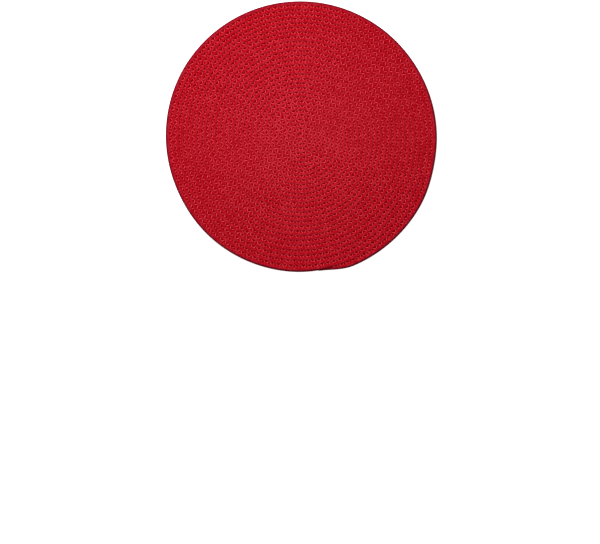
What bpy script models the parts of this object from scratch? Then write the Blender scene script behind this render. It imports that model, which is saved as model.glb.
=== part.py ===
"""Round placemat of one soft cord, wound flat into a spiral and sewn turn to turn.

Metres, +Z up. The mat lies on z = 0 with the middle of its outline at the origin.
"""

import math

import bmesh
import bpy
import numpy as np
from mathutils import Vector

MILLIMETRE = 0.001

# Driving dimensions of the mat.
MAT_THICKNESS = 0.005
FIRST_PITCH = 0.00611  # from one turn to the next at the centre
PITCH_GROWTH = 0.000025  # how much wider each turn is than the one inside it
TURNS = 30.0  # the first of them widens from nothing at the centre
CORD_END_ANGLE = math.radians(278.0)  # where the cord ends on the rim, from +X towards +Y

# Section of the wound cord: a level crown between two grooves, as shares of its width.
CROWN_START = 0.28
CROWN_END = 0.72
SECTION = (0.0, CROWN_START, CROWN_END, 1.0)
GROOVE_DEPTH = 0.0012
FULL_CROWN_SHARE = 0.8  # the cord reaches its full height once it is this share of its full width

# The cord narrows over its last stretch, where it is sewn down.
TAPER_ANGLE = math.radians(15.0)
TIP_WIDTH_SHARE = 0.15

# Rim of the outermost turn: widest at half its height, drawn in at the bottom.
RIM_BULGE = 0.0006
RIM_UNDERCUT = 0.0011

STEPS_PER_TURN = 40
WELD_DISTANCE = 0.00001

# How far a hand-guided coil strays outwards from an even spiral.
# Columns: angle in degrees, inner turns in millimetres, rim in millimetres.
WANDER = (
    (0.0, -1.3, -0.3),
    (30.0, -1.1, -1.9),
    (60.0, 0.5, -2.6),
    (90.0, 0.8, -2.6),
    (120.0, 0.6, -2.7),
    (150.0, 0.1, -2.4),
    (180.0, 0.0, -2.5),
    (205.0, -0.8, -2.1),
    (230.0, -1.5, 0.4),
    (270.0, 0.9, 2.8),
    (300.0, 1.3, 2.7),
    (332.0, 0.8, 2.3),
    (348.0, -0.8, -0.3),
)
WANDER_ANGLES, WANDER_INNER, WANDER_RIM = (np.array(column) for column in zip(*WANDER))
EVEN_RADIUS = 0.04  # the coil is even at the centre and strays fully from here out
RIM_TURNS = 8.0  # over these last turns the coil takes on the rim's wander

RED_COTTON = (0.42, 0.009, 0.019, 1.0)
COTTON_ROUGHNESS = 0.9


def clear_scene():
    for old in list(bpy.data.objects):
        bpy.data.objects.remove(old, do_unlink=True)


def smooth_share(value):
    """0 to 1 with level ends."""
    share = min(max(value, 0.0), 1.0)
    return share * share * (3.0 - 2.0 * share)


def wander(angle, turn, radius):
    """How far outwards a groove lies from its place on the even spiral."""
    degrees = math.degrees(angle)
    inner = np.interp(degrees, WANDER_ANGLES, WANDER_INNER, period=360.0)
    rim = np.interp(degrees, WANDER_ANGLES, WANDER_RIM, period=360.0)
    towards_rim = smooth_share((turn - (TURNS - RIM_TURNS)) / RIM_TURNS)
    strayed = inner + (rim - inner) * towards_rim
    return MILLIMETRE * strayed * smooth_share(radius / EVEN_RADIUS)


def groove_radius(turn, angle):
    """Distance from the centre to the groove that lies this many turns out."""
    if turn <= 0.0:
        return 0.0
    even = FIRST_PITCH * turn + PITCH_GROWTH * turn * turn / 2.0
    return even + wander(angle, turn, even)


def taper(turns_left):
    """Share of its full width that the cord has this far from its end."""
    reach = turns_left * math.tau / TAPER_ANGLE
    return TIP_WIDTH_SHARE + (1.0 - TIP_WIDTH_SHARE) * smooth_share(reach)


def cord_point(turn, across):
    """Point on top of the cord: turn counts from its start, across runs 0 to 1 from its inner groove."""
    angle = CORD_END_ANGLE + (TURNS - turn) * math.tau
    inner = groove_radius(turn - 1.0, angle)
    width = groove_radius(turn, angle) - inner
    width *= taper(TURNS - turn)
    radius = inner + width * across
    full_width = FIRST_PITCH + PITCH_GROWTH * turn
    height = MAT_THICKNESS - GROOVE_DEPTH
    if CROWN_START <= across <= CROWN_END:
        height += GROOVE_DEPTH * min(1.0, width / (FULL_CROWN_SHARE * full_width))
    return Vector((radius * math.cos(angle), radius * math.sin(angle), height))


def wind_cord(bm):
    """One long strip rolled up clockwise, where each turn's outer groove is the next turn's inner one."""
    steps = round(TURNS * STEPS_PER_TURN)
    rows = len(SECTION) - 1
    bmesh.ops.create_grid(bm, x_segments=steps, y_segments=rows, size=0.5)
    for vert in bm.verts:
        step = round((vert.co.x + 0.5) * steps)
        row = round((vert.co.y + 0.5) * rows)
        vert.co = cord_point(step / STEPS_PER_TURN, SECTION[row])
    bmesh.ops.remove_doubles(bm, verts=bm.verts, dist=WELD_DISTANCE)
    bmesh.ops.dissolve_degenerate(bm, edges=bm.edges, dist=WELD_DISTANCE)


def open_edge(bm):
    return [edge for edge in bm.edges if edge.is_boundary]


def lower_rim(bm, outwards, height):
    """Draws the open edge of the mat down to a height, moved outwards by a little."""
    drawn = bmesh.ops.extrude_edge_only(bm, edges=open_edge(bm))
    for vert in (item for item in drawn["geom"] if isinstance(item, bmesh.types.BMVert)):
        radius = math.hypot(vert.co.x, vert.co.y)
        stretch = 1.0 + outwards / radius
        vert.co = (vert.co.x * stretch, vert.co.y * stretch, height)


def centre_on_outline(bm):
    xs = [vert.co.x for vert in bm.verts]
    ys = [vert.co.y for vert in bm.verts]
    middle = Vector((min(xs) + max(xs), min(ys) + max(ys), 0.0)) / 2.0
    bmesh.ops.translate(bm, verts=bm.verts, vec=-middle)


def cotton_material():
    material = bpy.data.materials.new("red_cotton_cord")
    material.use_nodes = True
    shader = material.node_tree.nodes["Principled BSDF"]
    shader.inputs["Base Color"].default_value = RED_COTTON
    shader.inputs["Roughness"].default_value = COTTON_ROUGHNESS
    shader.inputs["Metallic"].default_value = 0.0
    return material


def build_mat(collection):
    bm = bmesh.new()
    wind_cord(bm)
    lower_rim(bm, RIM_BULGE, MAT_THICKNESS / 2.0)
    lower_rim(bm, -RIM_UNDERCUT, 0.0)
    bmesh.ops.holes_fill(bm, edges=open_edge(bm), sides=0)  # the flat underside
    bmesh.ops.recalc_face_normals(bm, faces=bm.faces)
    centre_on_outline(bm)
    mesh = bpy.data.meshes.new("coiled_cord_mat")
    bm.to_mesh(mesh)
    bm.free()
    mesh.materials.append(cotton_material())
    mat = bpy.data.objects.new("coiled_cord_mat", mesh)
    collection.objects.link(mat)


def main():
    clear_scene()
    collection = bpy.data.collections.new("coiled_cord_placemat")
    bpy.context.scene.collection.children.link(collection)
    build_mat(collection)


main()
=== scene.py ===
import math

import bpy
import numpy as np
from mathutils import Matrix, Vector


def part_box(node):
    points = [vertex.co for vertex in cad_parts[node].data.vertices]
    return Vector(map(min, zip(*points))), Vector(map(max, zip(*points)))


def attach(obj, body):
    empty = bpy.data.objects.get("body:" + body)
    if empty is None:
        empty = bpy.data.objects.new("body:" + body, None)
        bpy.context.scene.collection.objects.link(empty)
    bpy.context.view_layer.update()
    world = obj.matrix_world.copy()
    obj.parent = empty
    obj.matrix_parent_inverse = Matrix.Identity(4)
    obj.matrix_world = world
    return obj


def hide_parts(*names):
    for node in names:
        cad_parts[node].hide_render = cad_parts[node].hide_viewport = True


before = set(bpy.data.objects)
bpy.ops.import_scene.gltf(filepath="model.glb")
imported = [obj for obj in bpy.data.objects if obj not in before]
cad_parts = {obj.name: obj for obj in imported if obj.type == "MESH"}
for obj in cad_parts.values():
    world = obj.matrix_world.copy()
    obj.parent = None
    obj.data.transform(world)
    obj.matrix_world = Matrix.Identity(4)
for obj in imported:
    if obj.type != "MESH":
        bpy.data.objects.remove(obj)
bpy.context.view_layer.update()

mm = 0.001
matNode = "coiled_cord_mat"

# the coil: one cord wound clockwise from the middle; turns are counted by their outer groove

coil = {
    "turns": 30.0,
    "firstPitch": 6.11 * mm,     # from turn to turn at the centre
    "pitchGrowth": 0.025 * mm,   # each turn is this much wider than the one inside it
    "endAngle": 278.0,           # degrees, where the cord ends on the rim
    "taperAngle": 15.0,          # degrees over which the cord's end narrows
    "tipWidth": 0.15,            # share of the full width at the very end
    "firstTurn": 0.12,           # where the curled start of the cord begins
    "thickness": 5.0 * mm,
    "evenRadius": 40.0 * mm,     # the coil is even at the centre and strays fully from here out
    "rimTurns": 8.0,             # over these last turns it takes on the rim's wander
    "rimBulge": 0.6 * mm,        # nothing presses on the outer side of the last turn
    "bulgeStart": 0.97,          # turns before the end, from where the bulge is full
    "bulgeFade": 0.06,           # turns before that, over which it grows
    "stitchLength": 8.8 * mm,    # one whole zigzag
    "stitchLean": 0.58,          # share of a zigzag that its way back inwards takes
    "stitchDrift": 0.35 * mm,    # how far a stitch may fall from its even place
    "driftEvery": 45.0 * mm,
    "seed": 11,
    "cuts": (18.6, 23.7),        # turns at which the cord's mesh is parted into three pieces
    "steps": 60000,              # how finely the coil is worked out
}

# how far the hand-guided coil strays outwards: angle in degrees, inner turns and rim in mm
wander = (
    (0.0, -1.3, -0.3),
    (30.0, -1.1, -1.9),
    (60.0, 0.5, -2.6),
    (90.0, 0.8, -2.6),
    (120.0, 0.6, -2.7),
    (150.0, 0.1, -2.4),
    (180.0, 0.0, -2.5),
    (205.0, -0.8, -2.1),
    (230.0, -1.5, 0.4),
    (270.0, 0.9, 2.8),
    (300.0, 1.3, 2.7),
    (332.0, 0.8, 2.3),
    (348.0, -0.8, -0.3),
)


wanderAngles, innerColumn, rimColumn = (np.array(column) for column in zip(*wander))
wanderRoundOff = 21              # degrees over which the table's rows are smoothed


def aroundTheMat(column):        # one value for each degree, rounded off between the rows
    rough = np.interp(np.arange(360), wanderAngles, column, period=360.0)
    window = np.hanning(wanderRoundOff)
    half = wanderRoundOff // 2
    allRound = np.concatenate((rough[-half:], rough, rough[:half]))
    return np.convolve(allRound, window / window.sum(), "valid") * mm


innerWander, rimWander = aroundTheMat(innerColumn), aroundTheMat(rimColumn)


def smoothShare(value):
    share = np.clip(value, 0.0, 1.0)
    return share * share * (3.0 - 2.0 * share)


def windAngle(turn):
    return math.radians(coil["endAngle"]) + (coil["turns"] - turn) * math.tau


def grooveRadius(turn):
    turn = np.maximum(turn, 0.0)
    even = coil["firstPitch"] * turn + coil["pitchGrowth"] * turn * turn / 2.0
    degrees = np.degrees(windAngle(turn)) % 360.0
    inner = np.interp(degrees, np.arange(360), innerWander, period=360.0)
    rim = np.interp(degrees, np.arange(360), rimWander, period=360.0)
    towardsRim = smoothShare((turn - coil["turns"] + coil["rimTurns"]) / coil["rimTurns"])
    return even + (inner + (rim - inner) * towardsRim) * smoothShare(even / coil["evenRadius"])


def outwardAt(turn):
    angle = windAngle(turn)
    return np.stack((np.cos(angle), np.sin(angle), np.zeros_like(angle)), axis=1)


def widthShare(turn):            # of the cord's full width, which narrows towards its end
    reach = smoothShare((coil["turns"] - turn) * 360.0 / coil["taperAngle"])
    return coil["tipWidth"] + (1.0 - coil["tipWidth"]) * reach


def cordWidth(turn):             # the cord lies between the grooves turn - 1 and turn
    before = (coil["turns"] - turn - coil["bulgeStart"]) / coil["bulgeFade"]
    bulge = coil["rimBulge"] * (1.0 - smoothShare(before))
    return (grooveRadius(turn) - grooveRadius(turn - 1.0) + bulge) * widthShare(turn)


def lengthAlong(points):
    steps = np.linalg.norm(np.diff(points, axis=0), axis=1)
    return np.concatenate(([0.0], np.cumsum(steps)))


# a fine table of the coil, which everything that follows it reads
fineTurn = np.linspace(0.0, coil["turns"], coil["steps"] + 1)
finePoints = outwardAt(fineTurn) * grooveRadius(fineTurn)[:, None]
grooveLength = lengthAlong(finePoints)
chance = np.random.default_rng(coil["seed"])
driftKnots = np.arange(0.0, grooveLength[-1] + coil["driftEvery"], coil["driftEvery"])
drift = np.interp(grooveLength, driftKnots, chance.normal(0.0, coil["stitchDrift"], len(driftKnots)))
finePhase = (grooveLength + drift) / coil["stitchLength"] * math.tau

# the coil's own centre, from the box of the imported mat
lastTurn = fineTurn[fineTurn > coil["turns"] - 1.0]
outline = outwardAt(lastTurn) * (grooveRadius(lastTurn - 1.0) + cordWidth(lastTurn))[:, None]
outlineMiddle = (outline.min(axis=0) + outline.max(axis=0)) / 2.0
boxLow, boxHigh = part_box(matNode)
coilCentre = np.array((boxLow + boxHigh) / 2.0) - outlineMiddle
coilCentre[2] = 0.0


def seamPhase(turn):
    return np.interp(turn, fineTurn, finePhase)


def smoothNoise(length, every, spread, seed):    # slow unevenness along the cord
    knots = np.arange(0.0, length[-1] + 2.0 * every, every)
    values = np.random.default_rng(seed).normal(0.0, spread, len(knots))
    place = length / every
    low = np.floor(place).astype(int)
    share = smoothShare(place - low)
    return values[low] * (1.0 - share) + values[low + 1] * share


# helpers for meshes and node trees

def newObject(name, mesh):
    piece = bpy.data.objects.new(name, mesh)
    bpy.context.scene.collection.objects.link(piece)
    return piece


def lineObject(name, points, attributes, run=None):    # lines of run points each, with values at every point
    count = len(points)
    run = run or count
    mesh = bpy.data.meshes.new(name)
    mesh.from_pydata(points.tolist(), [(i, i + 1) for i in range(count - 1) if (i + 1) % run], [])
    for label, values in attributes.items():
        kind, slot = ("FLOAT_VECTOR", "vector") if values.ndim == 2 else ("FLOAT", "value")
        layer = mesh.attributes.new(label, kind, "POINT")
        layer.data.foreach_set(slot, values.astype(np.float32).ravel())
    return newObject(name, mesh)


def addNode(tree, kind, **settings):
    node = tree.nodes.new(kind)
    for name, value in settings.items():
        setattr(node, name, value)
    return node


def plug(tree, value, socket):   # links a socket, or sets a plain value
    if isinstance(value, bpy.types.NodeSocket):
        tree.links.new(value, socket)
    else:
        socket.default_value = value


def calc(tree, operation, *values):
    node = addNode(tree, "ShaderNodeMath", operation=operation)
    for value, socket in zip(values, node.inputs):
        plug(tree, value, socket)
    return node.outputs[0]


def vectorCalc(tree, operation, first, second):
    node = addNode(tree, "ShaderNodeVectorMath", operation=operation)
    plug(tree, first, node.inputs[0])
    plug(tree, second, node.inputs["Scale"] if operation == "SCALE" else node.inputs[1])
    return node.outputs[0]


def combine(tree, x, y, z):
    node = addNode(tree, "ShaderNodeCombineXYZ")
    for value, socket in zip((x, y, z), node.inputs):
        plug(tree, value, socket)
    return node.outputs[0]


def readAttribute(tree, name, kind="FLOAT"):
    node = addNode(tree, "GeometryNodeInputNamedAttribute", data_type=kind)
    node.inputs["Name"].default_value = name
    return node.outputs["Attribute"]


def capture(tree, geometry, value, kind, name):
    node = addNode(tree, "GeometryNodeCaptureAttribute")
    node.capture_items.new(kind, name)
    plug(tree, geometry, node.inputs["Geometry"])
    plug(tree, value, node.inputs[name])
    return node.outputs["Geometry"], node.outputs[name]


def newTree(name, inputs):       # a geometry tree with its named sizes
    tree = bpy.data.node_groups.new(name, "GeometryNodeTree")
    tree.interface.new_socket("Geometry", in_out="INPUT", socket_type="NodeSocketGeometry")
    for label, kind in inputs.items():
        tree.interface.new_socket(label, in_out="INPUT", socket_type="NodeSocket" + kind)
    tree.interface.new_socket("Geometry", in_out="OUTPUT", socket_type="NodeSocketGeometry")
    return tree, addNode(tree, "NodeGroupInput").outputs


def endTree(tree, geometry, material):           # smooth faces, real geometry and its material
    smooth = addNode(tree, "GeometryNodeSetShadeSmooth")
    plug(tree, geometry, smooth.inputs["Geometry"])
    real = addNode(tree, "GeometryNodeRealizeInstances")
    plug(tree, smooth.outputs[0], real.inputs["Geometry"])
    finish = addNode(tree, "GeometryNodeSetMaterial")
    plug(tree, real.outputs[0], finish.inputs["Geometry"])
    plug(tree, material, finish.inputs["Material"])
    plug(tree, finish.outputs[0], addNode(tree, "NodeGroupOutput").inputs[0])


def growMesh(piece, tree, values):               # runs the tree and keeps its result as a plain mesh
    modifier = piece.modifiers.new(tree.name, "NODES")
    modifier.node_group = tree
    sockets = {s.name: s.identifier for s in tree.interface.items_tree if s.in_out == "INPUT"}
    for label, value in values.items():
        modifier[sockets[label]] = value
    graph = bpy.context.evaluated_depsgraph_get()
    evaluated = piece.evaluated_get(graph)
    mesh = bpy.data.meshes.new_from_object(evaluated, preserve_all_data_layers=True, depsgraph=graph)
    piece.modifiers.remove(modifier)
    line, piece.data = piece.data, mesh
    mesh.name = piece.name
    bpy.data.meshes.remove(line)


# sizes of the seam, which its threads and the shading beside them share

seamSizes = {
    "firstTurn": 0.6,
    "lastTurn": 28.985,          # just short of the cord's tip
    "reach": 2.5 * mm,           # from the groove to the needle holes
    "mostOfWidth": 0.42,         # and never more than this share of a narrow cord
    "reachSpread": 0.08,         # how far, as a share, one stitch's reach strays from another's
    "threadWidth": 1.2 * mm,
    "sides": 5,
    "grooveHeight": 1.2 * mm,    # off the middle of the mat, where it spans the groove
    "shoulderPlace": 0.78,       # where the thread is highest, as a share of its way from groove to hole
    "holeHeight": 1.3 * mm,
    "seed": 23,
}

# the seam's two faces: side of the mat, thread's height, and how far off the middle its shoulders lie
seamFaces = {
    "topSeam": (1.0, 0.9 * mm, 2.32 * mm),
    "underSeam": (-1.0, 0.7 * mm, 2.12 * mm),    # pressed flat on the table
}

# materials

redDye = {                       # tones run from 0, deep red, through plain red to 1, light red
    "deepRed": (0.36, 0.0, 0.001),           # the painted shade down between the stitches
    "plainRed": (0.38, 0.004, 0.014),
    "plainTone": 0.4,
    "lightRed": (0.93, 0.074, 0.108),        # where the thread catches the light
    "palerMiddle": 0.13,         # how much lighter in tone the middle of the mat is
    "palerReach": 185.0 * mm,    # and how far out that goes
}


def newGroup(name, inputs, outputs, kind="Float"):
    tree = bpy.data.node_groups.new(name, "ShaderNodeTree")
    for label in inputs:
        tree.interface.new_socket(label, in_out="INPUT", socket_type="NodeSocketFloat")
    for label in outputs:
        tree.interface.new_socket(label, in_out="OUTPUT", socket_type="NodeSocket" + kind)
    return tree, addNode(tree, "NodeGroupInput").outputs, addNode(tree, "NodeGroupOutput").inputs


def useGroup(tree, group, values):
    node = addNode(tree, "ShaderNodeGroup", node_tree=group)
    for label, value in values.items():
        plug(tree, value, node.inputs[label])
    return node.outputs


def attribute(tree, name, output="Fac"):
    return addNode(tree, "ShaderNodeAttribute", attribute_name=name).outputs[output]


def spread(tree, value, start, end, low=0.0, high=1.0):     # an even slope between two values
    node = addNode(tree, "ShaderNodeMapRange")
    for item, socket in zip((value, start, end, low, high), node.inputs):
        plug(tree, item, socket)
    return node.outputs[0]


def noiseAt(tree, x, y, scale, detail):
    node = addNode(tree, "ShaderNodeTexNoise")
    plug(tree, combine(tree, x, y, 0.0), node.inputs["Vector"])
    node.inputs["Scale"].default_value = scale
    node.inputs["Detail"].default_value = detail
    return node.outputs[0]


def mixColours(tree, share, first, second):
    node = addNode(tree, "ShaderNodeMix", data_type="RGBA")
    for value, socket in zip((share, first, second), [item for item in node.inputs if item.enabled]):
        plug(tree, value, socket)
    return next(item for item in node.outputs if item.enabled)


def redDyeGroup():               # the red of each tone, a little paler towards the middle of the mat
    tree, given, result = newGroup(
        "redDye", ("Tone", "From Middle", "Paler Middle", "Paler Reach"), ("Colour",), "Color")
    paler = spread(tree, given["From Middle"], 0.0, given["Paler Reach"], given["Paler Middle"], 0.0)
    ramp = addNode(tree, "ShaderNodeValToRGB")
    plug(tree, calc(tree, "ADD", given["Tone"], paler), ramp.inputs["Fac"])
    stops = ramp.color_ramp.elements
    stops[0].color = (*redDye["deepRed"], 1.0)
    stops[1].color = (*redDye["lightRed"], 1.0)
    stops.new(redDye["plainTone"]).color = (*redDye["plainRed"], 1.0)
    plug(tree, ramp.outputs["Color"], result["Colour"])
    return tree


def dyed(tree, dyeGroup, tone):
    return useGroup(tree, dyeGroup, {
        "Tone": tone, "From Middle": attribute(tree, "fromMiddle"),
        "Paler Middle": redDye["palerMiddle"], "Paler Reach": redDye["palerReach"]})["Colour"]


# sizes of the painted shade in the gaps between stitches and beside the threads
shadeSizes = {
    "slant": 0.66,               # makes a distance across the groove one square to the slanting thread
    "clearStart": 0.55 * mm,     # off the thread's middle, where the gap beside it begins
    "clearEnd": 1.0 * mm,
    "gapFull": 0.35,             # share of its reach over which a gap's painted shade is full
    "edgeStart": 0.6 * mm,       # off the thread's middle, where the painted shade beside it begins to fade
    "edgeEnd": 1.1 * mm,
    "edgeFade": 1.25,            # times the thread's own reach, where that painted shade is gone
}


def paintedSeamShadeGroup():            # painted shade: how deep in the gap between two stitches, and how close beside a thread
    tree, given, result = newGroup(
        "paintedSeamShade", ("Phase", "From Groove", "Side", "Reach", "Gap Reach"), ("Gap", "Edge"))
    lean = coil["stitchLean"]
    place = calc(tree, "FRACT", calc(tree, "DIVIDE", given["Phase"], math.tau))
    back = spread(tree, place, 0.0, lean, 1.0, -1.0)
    out = spread(tree, place, lean, 1.0, -1.0, 1.0)
    swing = calc(tree, "MULTIPLY", calc(tree, "MAXIMUM", back, out), given["Side"])
    off = calc(tree, "SUBTRACT", given["From Groove"], calc(tree, "MULTIPLY", swing, given["Reach"]))
    away = calc(tree, "MULTIPLY", calc(tree, "ABSOLUTE", off), shadeSizes["slant"])
    clear = spread(tree, away, shadeSizes["clearStart"], shadeSizes["clearEnd"])
    gapFull = calc(tree, "MULTIPLY", given["Gap Reach"], shadeSizes["gapFull"])
    near = spread(tree, given["From Groove"], gapFull, given["Gap Reach"], 1.0, 0.0)
    plug(tree, calc(tree, "MULTIPLY", clear, near), result["Gap"])
    edgeGone = calc(tree, "MULTIPLY", given["Reach"], shadeSizes["edgeFade"])
    within = spread(tree, given["From Groove"], given["Reach"], edgeGone, 1.0, 0.0)
    beside = spread(tree, away, shadeSizes["edgeStart"], shadeSizes["edgeEnd"], 1.0, 0.0)
    plug(tree, calc(tree, "MULTIPLY", beside, within), result["Edge"])
    return tree


braidSizes = {
    "lean": 0.75,                # how steeply the strands cross the cord
    "fullness": 0.6,             # less makes a strand's back broader
    "arch": 0.5,                 # how far a strand drops where it dives under the next
    "fibreAlong": 1.2,           # fineness of the fibres along a strand and across it
    "fibreAcross": 9.0,
    "fibreScale": 1.3,
    "fibreDetail": 2.0,
    "fibreHeight": 0.45,
    "paintedShadeTone": -0.6,             # painted shade beside the strands, and painted light on top of them
    "paintedLightTone": 0.4,
}


def braidGroup():                # height of the braid's slanting strands, their uneven colour, and painted shade between them
    tree, given, result = newGroup("braid", ("Along", "Across", "Strand"), ("Height", "Tone"))
    x = calc(tree, "DIVIDE", given["Along"], given["Strand"])
    y = calc(tree, "DIVIDE", given["Across"], given["Strand"])
    lean = calc(tree, "MULTIPLY", y, braidSizes["lean"])
    right, left = calc(tree, "ADD", x, lean), calc(tree, "SUBTRACT", x, lean)
    cells = calc(tree, "ADD", calc(tree, "FLOOR", right), calc(tree, "FLOOR", left))
    upper = calc(tree, "FLOORED_MODULO", cells, 2.0)     # which of the two strands lies on top
    turned = calc(tree, "SUBTRACT", left, right)
    long = calc(tree, "MULTIPLY_ADD", turned, upper, right)
    cross = calc(tree, "SUBTRACT", calc(tree, "ADD", right, left), long)
    body = calc(tree, "SINE", calc(tree, "MULTIPLY", calc(tree, "FRACT", cross), math.pi))
    arch = calc(tree, "SINE", calc(tree, "MULTIPLY", calc(tree, "FRACT", long), math.pi))
    arch = calc(tree, "MULTIPLY_ADD", arch, braidSizes["arch"], 1.0 - braidSizes["arch"])
    plait = calc(tree, "MULTIPLY", calc(tree, "POWER", body, braidSizes["fullness"]), arch)
    fibre = noiseAt(tree, calc(tree, "MULTIPLY", long, braidSizes["fibreAlong"]),
                    calc(tree, "MULTIPLY", cross, braidSizes["fibreAcross"]),
                    braidSizes["fibreScale"], braidSizes["fibreDetail"])
    plug(tree, calc(tree, "MULTIPLY_ADD", fibre, braidSizes["fibreHeight"], plait), result["Height"])

    # each strand shows in its own shade between two crossings
    patch = addNode(tree, "ShaderNodeTexWhiteNoise")
    cell = combine(tree, calc(tree, "FLOOR", right), calc(tree, "FLOOR", left), 0.0)
    plug(tree, cell, patch.inputs["Vector"])
    shade = spread(tree, patch.outputs["Value"], 0.0, 1.0, -1.0, 1.0)
    # painted shade: darker where a strand dips beside the next, lighter on its top
    paintedShadeDepth = spread(tree, plait, 0.0, 1.0, braidSizes["paintedShadeTone"], braidSizes["paintedLightTone"])
    plug(tree, calc(tree, "ADD", shade, paintedShadeDepth), result["Tone"])
    return tree


def cottonMaterial(name, look):
    material = bpy.data.materials.new(name)
    material.use_nodes = True
    tree = material.node_tree
    shader = tree.nodes["Principled BSDF"].inputs
    shader["Roughness"].default_value = look["roughness"]
    shader["Specular IOR Level"].default_value = look["shine"]
    bump = addNode(tree, "ShaderNodeBump")
    bump.inputs["Distance"].default_value = look["relief"]
    bump.inputs["Strength"].default_value = look["reliefStrength"]
    plug(tree, bump.outputs[0], shader["Normal"])
    return material, tree, shader["Base Color"], bump.inputs["Height"]


cordLook = {
    "roughness": 0.8,
    "shine": 0.0,                # the cotton is matt
    "relief": 0.25 * mm,
    "reliefStrength": 0.8,
    "strand": 1.75 * mm,         # width of a strand of the cord's braid
    "tone": 0.36,
    "unevenness": 0.2,
    "gapShade": 0.5,             # painted shade: how much darker the gaps between stitches are painted
    "gapShadeReach": 2.2 * mm,        # how far that painted shade reaches from the groove
    "edgeShade": 0.12,           # and the painted shade on the cord close beside a thread
    "rimShadeRed": (0.16, 0.005, 0.013),          # painted shade on the outer side of the rim, which turns under
    "rimShadeStart": 1.4 * mm,        # the rim's painted shade is full at so much from the outermost edge, and gone at
    "rimShadeReach": 3.6 * mm,
}


def makeCordRed(dyeGroup, braid, paintedSeamShade):
    material, tree, colour, height = cottonMaterial("cordRed", cordLook)
    half, across = attribute(tree, "halfWidth"), attribute(tree, "across")
    weave = useGroup(tree, braid, {
        "Along": attribute(tree, "along"), "Across": across, "Strand": cordLook["strand"]})
    gapShades, edgeShades = [], []
    for side, phase, seamed in ((-1.0, "outerPhase", "outerSeam"), (1.0, "innerPhase", "innerSeam")):
        seam = useGroup(tree, paintedSeamShade, {
            "Phase": attribute(tree, phase), "Side": side,
            "From Groove": calc(tree, "ADD", half, calc(tree, "MULTIPLY", across, side)),
            "Reach": seamSizes["reach"], "Gap Reach": cordLook["gapShadeReach"]})
        gapShades.append(calc(tree, "MULTIPLY", seam["Gap"], attribute(tree, seamed)))
        edgeShades.append(calc(tree, "MULTIPLY", seam["Edge"], attribute(tree, seamed)))
    # the braid's uneven colour, together with its painted shade between the strands
    tone = calc(tree, "MULTIPLY_ADD", weave["Tone"], cordLook["unevenness"], cordLook["tone"])
    # painted shade in the gaps between stitches and beside the threads, taken off the tone
    for masks, paintedShadeDepth in ((gapShades, "gapShade"), (edgeShades, "edgeShade")):
        paintedShade = calc(tree, "MULTIPLY", calc(tree, "MAXIMUM", *masks), cordLook[paintedShadeDepth])
        tone = calc(tree, "SUBTRACT", tone, paintedShade)

    # painted shade on the side of the rim, where nothing is sewn to it
    fromEdge = calc(tree, "SUBTRACT", half, across)
    outside = spread(tree, fromEdge, cordLook["rimShadeStart"], cordLook["rimShadeReach"], 1.0, 0.0)
    unsewn = calc(tree, "SUBTRACT", 1.0, attribute(tree, "outerSeam"))
    rim = calc(tree, "MULTIPLY", unsewn, outside)
    plug(tree, mixColours(tree, rim, dyed(tree, dyeGroup, tone), (*cordLook["rimShadeRed"], 1.0)), colour)
    plug(tree, weave["Height"], height)
    return material


threadLook = {
    "roughness": 0.6,
    "shine": 0.0,
    "relief": 0.1 * mm,
    "reliefStrength": 0.5,
    # painted highlight: the thread is a little lighter than the cord, and its tone is lifted near light red
    # for the light it catches
    "tone": 0.94,
    "unevenness": 0.15,
    "twists": 7.0,               # turns of its two plies from one hole to the next
    "twistTone": 0.1,
    "diveStart": 0.2,            # share of the way to its holes, where its painted shade begins
    "holeShade": 0.75,            # painted shade: how much darker it is painted in its holes
    "sideShade": 0.25,            # and the painted shade down its two sides, turned from the light
}


def makeThreadRed(dyeGroup):
    material, tree, colour, height = cottonMaterial("threadRed", threadLook)
    swing = attribute(tree, "swing")
    around = addNode(tree, "ShaderNodeSeparateXYZ")
    plug(tree, attribute(tree, "around", "Vector"), around.inputs[0])
    sideways, upwards = around.outputs[0], around.outputs[1]
    wound = calc(tree, "MULTIPLY", swing, threadLook["twists"] * math.pi)
    across = calc(tree, "MULTIPLY", calc(tree, "COSINE", wound), sideways)
    twist = calc(tree, "MULTIPLY_ADD", calc(tree, "SINE", wound), upwards, across)
    # painted shade where the thread dives into its holes and down its two sides
    toHole = calc(tree, "ABSOLUTE", swing)
    divingShade = spread(tree, toHole, threadLook["diveStart"], 1.0, 0.0, threadLook["holeShade"])
    toSide = calc(tree, "MULTIPLY", sideways, sideways)
    paintedShade = calc(tree, "MULTIPLY_ADD", toSide, threadLook["sideShade"], divingShade)
    tone = attribute(tree, "tone")
    tone = calc(tree, "MULTIPLY_ADD", tone, threadLook["unevenness"], threadLook["tone"])
    tone = calc(tree, "MULTIPLY_ADD", twist, threadLook["twistTone"], tone)
    tone = calc(tree, "SUBTRACT", tone, paintedShade)
    plug(tree, dyed(tree, dyeGroup, tone), colour)
    plug(tree, twist, height)
    return material


# the cord

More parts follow.
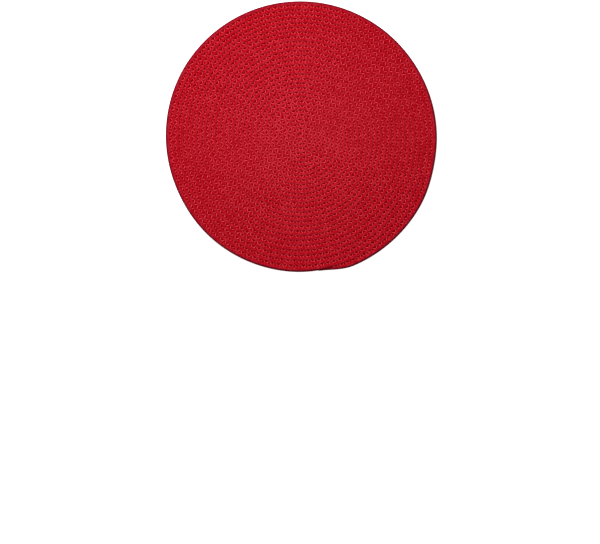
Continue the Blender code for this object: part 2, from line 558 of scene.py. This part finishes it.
cordSizes = {
    "step": 1.1 * mm,            # from ring to ring of the mesh
    "mostBend": 12.0,            # and never more degrees than this
    "sides": 16,
    "topSharpness": 0.22,        # how much closer the points lie on the faces than at the sides
    "squareness": 0.92,          # 1 is an ellipse, less is fuller
    "squeeze": 1.07,             # how much wider the cord would be if its neighbours didn't press on it
    "contact": 1.02,             # and how far it goes into them
    "snug": 0.15 * mm,           # how much further the curled start goes into its neighbours
    "fullFrom": 0.8,             # share of the full width from which the cord has its full height
    "heightSpread": 0.012,       # how far, as a share, the height strays
    "heightEvery": 30.0 * mm,
    "heightSeed": 5,
    "tipRound": 2.5 * mm,        # the cord's very end is rounded over this length
    "tipStart": 0.03,            # share of that length which is left off, so the end isn't a mere point
    "dent": 0.16,                # how far a needle hole draws the cord in, as a share of its half height
    "dentPlace": 0.8 * mm,       # from the crown to the needle holes
    "dentWidth": 1.0 * mm,
    "dentTightness": 3.0,
    "lump": 0.12 * mm,           # relief of the braid
    "lumpLength": 2.9 * mm,
    "lumpsAcross": 2.5,
}


def cordPath(firstTurn, lastTurn):
    turn = fineTurn[(fineTurn >= firstTurn) & (fineTurn <= lastTurn)]
    inner = grooveRadius(turn - 1.0)
    middle = outwardAt(turn) * (inner + cordWidth(turn) / 2.0)[:, None]
    steps = np.maximum(np.diff(lengthAlong(middle)) / cordSizes["step"],
                       np.diff(turn) * 360.0 / cordSizes["mostBend"])
    ring = np.concatenate(([0.0], np.cumsum(steps)))
    return np.interp(np.linspace(0.0, ring[-1], round(ring[-1]) + 1), ring, turn)


def windCordTree():
    tree, given = newTree("windCord", {
        "Sides": "Int", "Top Sharpness": "Float", "Squareness": "Float", "Squeeze": "Float",
        "Contact": "Float", "Outer Apex": "Float", "Dent": "Float", "Dent Place": "Float",
        "Dent Width": "Float", "Dent Tightness": "Float", "Lump": "Float", "Lump Length": "Float",
        "Lumps Across": "Float", "Material": "Material"})
    line = addNode(tree, "GeometryNodeMeshToCurve")
    plug(tree, given["Geometry"], line.inputs["Mesh"])
    where = addNode(tree, "GeometryNodeInputPosition").outputs[0]
    curve, middle = capture(tree, line.outputs[0], where, "VECTOR", "Middle")

    ring = addNode(tree, "GeometryNodeCurvePrimitiveCircle")
    plug(tree, given["Sides"], ring.inputs["Resolution"])
    index = addNode(tree, "GeometryNodeInputIndex").outputs[0]
    turnShare = calc(tree, "MULTIPLY", calc(tree, "DIVIDE", index, given["Sides"]), math.tau)
    crowd = calc(tree, "MULTIPLY", calc(tree, "COSINE", turnShare), given["Top Sharpness"])
    profile, angle = capture(tree, ring.outputs[0], calc(tree, "ADD", turnShare, crowd), "FLOAT", "Angle")

    skin = addNode(tree, "GeometryNodeCurveToMesh")
    plug(tree, curve, skin.inputs["Curve"])
    plug(tree, profile, skin.inputs["Profile Curve"])
    skin.inputs["Fill Caps"].default_value = True

    def fullRound(operation):    # one coordinate of a squarish ellipse
        plain = calc(tree, operation, angle)
        size = calc(tree, "POWER", calc(tree, "ABSOLUTE", plain), given["Squareness"])
        return calc(tree, "MULTIPLY", calc(tree, "SIGN", plain), size)

    def holes(side, phase, apex):    # where the seam's needle holes draw the cord in
        off = calc(tree, "SUBTRACT", across, calc(tree, "MULTIPLY", given["Dent Place"], side))
        near = calc(tree, "DIVIDE", off, given["Dent Width"])
        wide = calc(tree, "EXPONENT", calc(tree, "MULTIPLY", calc(tree, "MULTIPLY", near, near), -1.0))
        turned = calc(tree, "COSINE", calc(tree, "SUBTRACT", phase, apex))
        along = calc(tree, "MULTIPLY", calc(tree, "SUBTRACT", turned, 1.0), given["Dent Tightness"])
        return calc(tree, "MULTIPLY", wide, calc(tree, "EXPONENT", along))

    sideways, upwards = fullRound("COSINE"), fullRound("SINE")
    free = calc(tree, "MULTIPLY", sideways, given["Squeeze"])
    inside = calc(tree, "MULTIPLY", given["Contact"], -1.0)
    pressed = calc(tree, "MAXIMUM", calc(tree, "MINIMUM", free, given["Contact"]), inside)
    across = calc(tree, "MULTIPLY", pressed, readAttribute(tree, "halfWidth"))
    outerHoles = calc(tree, "MULTIPLY", readAttribute(tree, "outerSeam"),
                      holes(1.0, readAttribute(tree, "outerPhase"), given["Outer Apex"]))
    innerHoles = calc(tree, "MULTIPLY", readAttribute(tree, "innerSeam"),
                      holes(-1.0, readAttribute(tree, "innerPhase"), 0.0))
    dents = calc(tree, "ADD", outerHoles, innerHoles)
    drawnIn = calc(tree, "SUBTRACT", 1.0, calc(tree, "MULTIPLY", dents, given["Dent"]))
    along = readAttribute(tree, "along")
    repeat = calc(tree, "MULTIPLY", calc(tree, "DIVIDE", along, given["Lump Length"]), math.pi)
    slant = calc(tree, "MULTIPLY", calc(tree, "MULTIPLY", sideways, given["Lumps Across"]), math.pi / 2.0)
    lumps = calc(tree, "MULTIPLY", calc(tree, "COSINE", calc(tree, "ADD", repeat, slant)),
                 calc(tree, "COSINE", calc(tree, "SUBTRACT", repeat, slant)))
    relief = calc(tree, "MULTIPLY", calc(tree, "MULTIPLY", lumps, given["Lump"]), upwards)
    height = calc(tree, "MULTIPLY", upwards, readAttribute(tree, "halfHeight"))
    height = calc(tree, "ADD", calc(tree, "MULTIPLY", height, drawnIn), relief)

    place = addNode(tree, "GeometryNodeSetPosition")
    plug(tree, skin.outputs[0], place.inputs["Geometry"])
    outwards = vectorCalc(tree, "SCALE", readAttribute(tree, "outward", "FLOAT_VECTOR"), across)
    spot = vectorCalc(tree, "ADD", middle, outwards)
    spot = vectorCalc(tree, "ADD", spot, combine(tree, 0.0, 0.0, height))
    tableTop = (-9.0, -9.0, 0.0)     # no part of the cord goes below it
    plug(tree, vectorCalc(tree, "MAXIMUM", spot, tableTop), place.inputs["Position"])

    store = addNode(tree, "GeometryNodeStoreNamedAttribute", data_type="FLOAT", domain="POINT")
    plug(tree, place.outputs[0], store.inputs["Geometry"])
    store.inputs["Name"].default_value = "across"
    plug(tree, across, store.inputs["Value"])
    endTree(tree, store.outputs[0], given["Material"])
    return tree


def makeCord(name, firstTurn, lastTurn, tree, material):
    turn = cordPath(firstTurn, lastTurn)
    width = cordWidth(turn)
    outward = outwardAt(turn)
    points = outward * (grooveRadius(turn - 1.0) + width / 2.0)[:, None] + coilCentre
    along = np.interp(turn, fineTurn, grooveLength)
    fullWidth = coil["firstPitch"] + coil["pitchGrowth"] * turn
    fullness = np.minimum(1.0, np.sqrt(width / (cordSizes["fullFrom"] * fullWidth)))
    stray = smoothNoise(along, cordSizes["heightEvery"], cordSizes["heightSpread"], cordSizes["heightSeed"])
    halfHeight = coil["thickness"] / 2.0 * fullness * (1.0 + stray)
    toTip = np.clip((grooveLength[-1] - along) / cordSizes["tipRound"], cordSizes["tipStart"], 1.0)
    rounding = np.sqrt(1.0 - (1.0 - toTip) ** 2)
    points[:, 2] = coil["thickness"] / 2.0 * (0.5 + 0.5 * fullness)
    snug = cordSizes["snug"] * (1.0 - smoothShare(turn - 1.0))
    piece = lineObject(name, points, {
        "outward": outward, "along": along, "fromMiddle": grooveRadius(turn),
        "halfWidth": (width / 2.0 + snug) * rounding, "halfHeight": halfHeight * rounding,
        "outerPhase": seamPhase(turn), "innerPhase": seamPhase(turn - 1.0),
        "outerSeam": np.where(turn < coil["turns"] - 1.0, widthShare(turn + 1.0), 0.0),
        "innerSeam": 1.0 * (turn > seamSizes["firstTurn"] + 1.0)})
    growMesh(piece, tree, {
        "Sides": cordSizes["sides"], "Top Sharpness": cordSizes["topSharpness"],
        "Squareness": cordSizes["squareness"], "Squeeze": cordSizes["squeeze"],
        "Contact": cordSizes["contact"], "Outer Apex": coil["stitchLean"] * math.tau,
        "Dent": cordSizes["dent"], "Dent Place": cordSizes["dentPlace"],
        "Dent Width": cordSizes["dentWidth"], "Dent Tightness": cordSizes["dentTightness"],
        "Lump": cordSizes["lump"], "Lump Length": cordSizes["lumpLength"],
        "Lumps Across": cordSizes["lumpsAcross"], "Material": material})
    print(name, len(piece.data.polygons), "faces")
    return piece


# the zigzag seam, one strand of thread for each crossing of a groove

strandPlaces = np.array((0.0, 0.11, 0.5, 0.89, 1.0))    # points of a strand from hole to hole


def sewSeamTree():
    tree, given = newTree("sewSeam", {
        "Thread Width": "Float", "Thread Height": "Float", "Sides": "Int", "Groove Height": "Float",
        "Shoulder Height": "Float", "Shoulder Place": "Float", "Hole Height": "Float", "Face": "Float",
        "Middle Height": "Float", "Material": "Material"})
    swing = readAttribute(tree, "swing")
    out = calc(tree, "MULTIPLY", calc(tree, "MAXIMUM", swing, 0.0), readAttribute(tree, "reachOut"))
    back = calc(tree, "MULTIPLY", calc(tree, "MINIMUM", swing, 0.0), readAttribute(tree, "reachIn"))
    sideways = calc(tree, "ADD", out, back)
    far = calc(tree, "ABSOLUTE", swing)

    shoulder, top = given["Shoulder Place"], given["Shoulder Height"]
    rise = spread(tree, far, 0.0, shoulder, given["Groove Height"], top)
    dip = spread(tree, far, shoulder, 1.0, top, given["Hole Height"])
    height = calc(tree, "MULTIPLY", calc(tree, "MINIMUM", rise, dip), given["Face"])
    height = calc(tree, "ADD", height, given["Middle Height"])
    place = addNode(tree, "GeometryNodeSetPosition")
    plug(tree, given["Geometry"], place.inputs["Geometry"])
    outwards = vectorCalc(tree, "SCALE", readAttribute(tree, "outward", "FLOAT_VECTOR"), sideways)
    plug(tree, vectorCalc(tree, "ADD", outwards, combine(tree, 0.0, 0.0, height)), place.inputs["Offset"])
    line = addNode(tree, "GeometryNodeMeshToCurve")
    plug(tree, place.outputs[0], line.inputs["Mesh"])
    flat = addNode(tree, "GeometryNodeSetCurveNormal", mode="Z_UP")
    plug(tree, line.outputs[0], flat.inputs["Curve"])
    ring = addNode(tree, "GeometryNodeCurvePrimitiveCircle")
    plug(tree, given["Sides"], ring.inputs["Resolution"])
    ring.inputs["Radius"].default_value = 0.5    # one across, before it is squashed to the thread's size
    spot = addNode(tree, "GeometryNodeInputPosition").outputs[0]
    fromThread = vectorCalc(tree, "SCALE", spot, 2.0)
    profile, around = capture(tree, ring.outputs[0], fromThread, "VECTOR", "Around")
    squash = addNode(tree, "GeometryNodeTransform")
    plug(tree, profile, squash.inputs["Geometry"])
    plug(tree, combine(tree, given["Thread Width"], given["Thread Height"], 1.0), squash.inputs["Scale"])
    skin = addNode(tree, "GeometryNodeCurveToMesh")
    plug(tree, flat.outputs[0], skin.inputs["Curve"])
    plug(tree, squash.outputs[0], skin.inputs["Profile Curve"])
    skin.inputs["Fill Caps"].default_value = True
    store = addNode(tree, "GeometryNodeStoreNamedAttribute", data_type="FLOAT_VECTOR", domain="POINT")
    plug(tree, skin.outputs[0], store.inputs["Geometry"])
    store.inputs["Name"].default_value = "around"
    plug(tree, around, store.inputs["Value"])
    endTree(tree, store.outputs[0], given["Material"])
    return tree


def makeSeam(name, tree, material):
    face, threadHeight, shoulderHeight = seamFaces[name]
    first = math.ceil(seamPhase(seamSizes["firstTurn"]) / math.pi)
    last = math.floor(seamPhase(seamSizes["lastTurn"]) / math.pi)
    strand = np.arange(first, last)[:, None]
    outwards = strand % 2        # the strands between these run back inwards, and take longer
    start = strand // 2 + coil["stitchLean"] * outwards
    share = np.where(outwards, 1.0 - coil["stitchLean"], coil["stitchLean"])
    phase = ((start + share * strandPlaces) * math.tau).ravel()
    swing = ((1.0 - 2.0 * strandPlaces) * np.where(outwards, -1.0, 1.0)).ravel()
    turn = np.interp(phase, finePhase, fineTurn)
    outward = outwardAt(turn)
    points = outward * grooveRadius(turn)[:, None] + coilCentre
    chance = np.random.default_rng(seamSizes["seed"])
    strands, places = len(strand), len(strandPlaces)
    tone = np.repeat(chance.uniform(-1.0, 1.0, strands), places)
    reach = seamSizes["reach"] * np.repeat(chance.normal(1.0, seamSizes["reachSpread"], strands), places)
    room = seamSizes["mostOfWidth"]
    piece = lineObject(name, points, {
        "outward": outward, "swing": swing, "tone": tone, "fromMiddle": grooveRadius(turn),
        "reachOut": np.minimum(reach, cordWidth(turn + 1.0) * room),
        "reachIn": np.minimum(reach, cordWidth(turn) * room)}, places)
    growMesh(piece, tree, {
        "Thread Width": seamSizes["threadWidth"], "Thread Height": threadHeight,
        "Sides": seamSizes["sides"], "Groove Height": seamSizes["grooveHeight"],
        "Shoulder Height": shoulderHeight, "Shoulder Place": seamSizes["shoulderPlace"],
        "Hole Height": seamSizes["holeHeight"], "Face": face,
        "Middle Height": coil["thickness"] / 2.0, "Material": material})
    print(name, len(piece.data.polygons), "faces")
    return piece


# making the mat

dyeGroup = redDyeGroup()
cordRed = makeCordRed(dyeGroup, braidGroup(), paintedSeamShadeGroup())
threadRed = makeThreadRed(dyeGroup)
print("cord red and thread red made")

cordTree = windCordTree()
coilEnds = (coil["firstTurn"], *coil["cuts"], coil["turns"])
cordPieces = [
    makeCord(name, first, last, cordTree, cordRed)
    for name, first, last in zip(("innerCoil", "middleCoil", "outerCoil"), coilEnds, coilEnds[1:])
]
seamTree = sewSeamTree()
seamPieces = [makeSeam(name, seamTree, threadRed) for name in seamFaces]

for piece in cordPieces + seamPieces:
    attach(piece, "root")
for piece, first, last in zip(cordPieces, coilEnds, coilEnds[1:]):
    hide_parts(matNode)
print("mat made")

# floor, light and camera

studio = {
    "pixelsWide": 600,
    "pixelsHigh": 544,
    "pixel": 1.4033 * mm,        # from the mat's 15 in across
    "matMiddle": (300.8, 136.0),     # pixel at the middle of the mat's outline
    "lens": 135.0,
    "floorReach": 20.0,          # metres each way
    "floorWhite": (0.93, 0.93, 0.93, 1.0),
    "floorRoughness": 0.9,
    "floorGlow": 0.9,            # a lit white table, on which the mat hardly throws a shadow
    "keyPlace": (-1.2, 1.95, 1.45),    # from the upper left, and low enough to show the grooves
    "keySize": 0.7,
    "keyPower": 124.0,
    "fill": 0.28,
}


def makeFloor():
    reach = studio["floorReach"]
    mesh = bpy.data.meshes.new("floor")
    mesh.from_pydata([(-reach, -reach, 0), (reach, -reach, 0), (reach, reach, 0), (-reach, reach, 0)],
                     [], [(0, 1, 2, 3)])
    floor = newObject("floor", mesh)
    material = bpy.data.materials.new("paleFloor")
    material.use_nodes = True
    shader = material.node_tree.nodes["Principled BSDF"]
    shader.inputs["Base Color"].default_value = studio["floorWhite"]
    shader.inputs["Roughness"].default_value = studio["floorRoughness"]
    shader.inputs["Emission Color"].default_value = (1.0, 1.0, 1.0, 1.0)
    shader.inputs["Emission Strength"].default_value = studio["floorGlow"]
    mesh.materials.append(material)


def makeLight(name, place, size, power):
    data = bpy.data.lights.new(name, "AREA")
    data.size, data.energy = size, power
    light = newObject(name, data)
    light.location = place
    light.rotation_euler = (-Vector(place)).to_track_quat("-Z", "Y").to_euler()


def makeWorld():
    world = bpy.data.worlds.new("studio")
    bpy.context.scene.world = world
    world.use_nodes = True
    sky = world.node_tree.nodes["Background"].inputs
    sky["Color"].default_value = (1.0, 1.0, 1.0, 1.0)
    sky["Strength"].default_value = studio["fill"]


def makeCamera():                # straight above the middle of the picture
    data = bpy.data.cameras.new("camera")
    data.lens = studio["lens"]
    camera = newObject("camera", data)
    middleX, middleY = (studio["pixelsWide"] - 1) / 2.0, (studio["pixelsHigh"] - 1) / 2.0
    matX, matY = studio["matMiddle"]
    away = studio["pixelsWide"] * studio["pixel"] * studio["lens"] / data.sensor_width
    camera.location = ((middleX - matX) * studio["pixel"], (matY - middleY) * studio["pixel"],
                       away + coil["thickness"])
    bpy.context.scene.camera = camera


makeFloor()
makeLight("key", studio["keyPlace"], studio["keySize"], studio["keyPower"])
makeWorld()
makeCamera()
bpy.context.scene.view_settings.view_transform = "Standard"
print("floor, light and camera set")
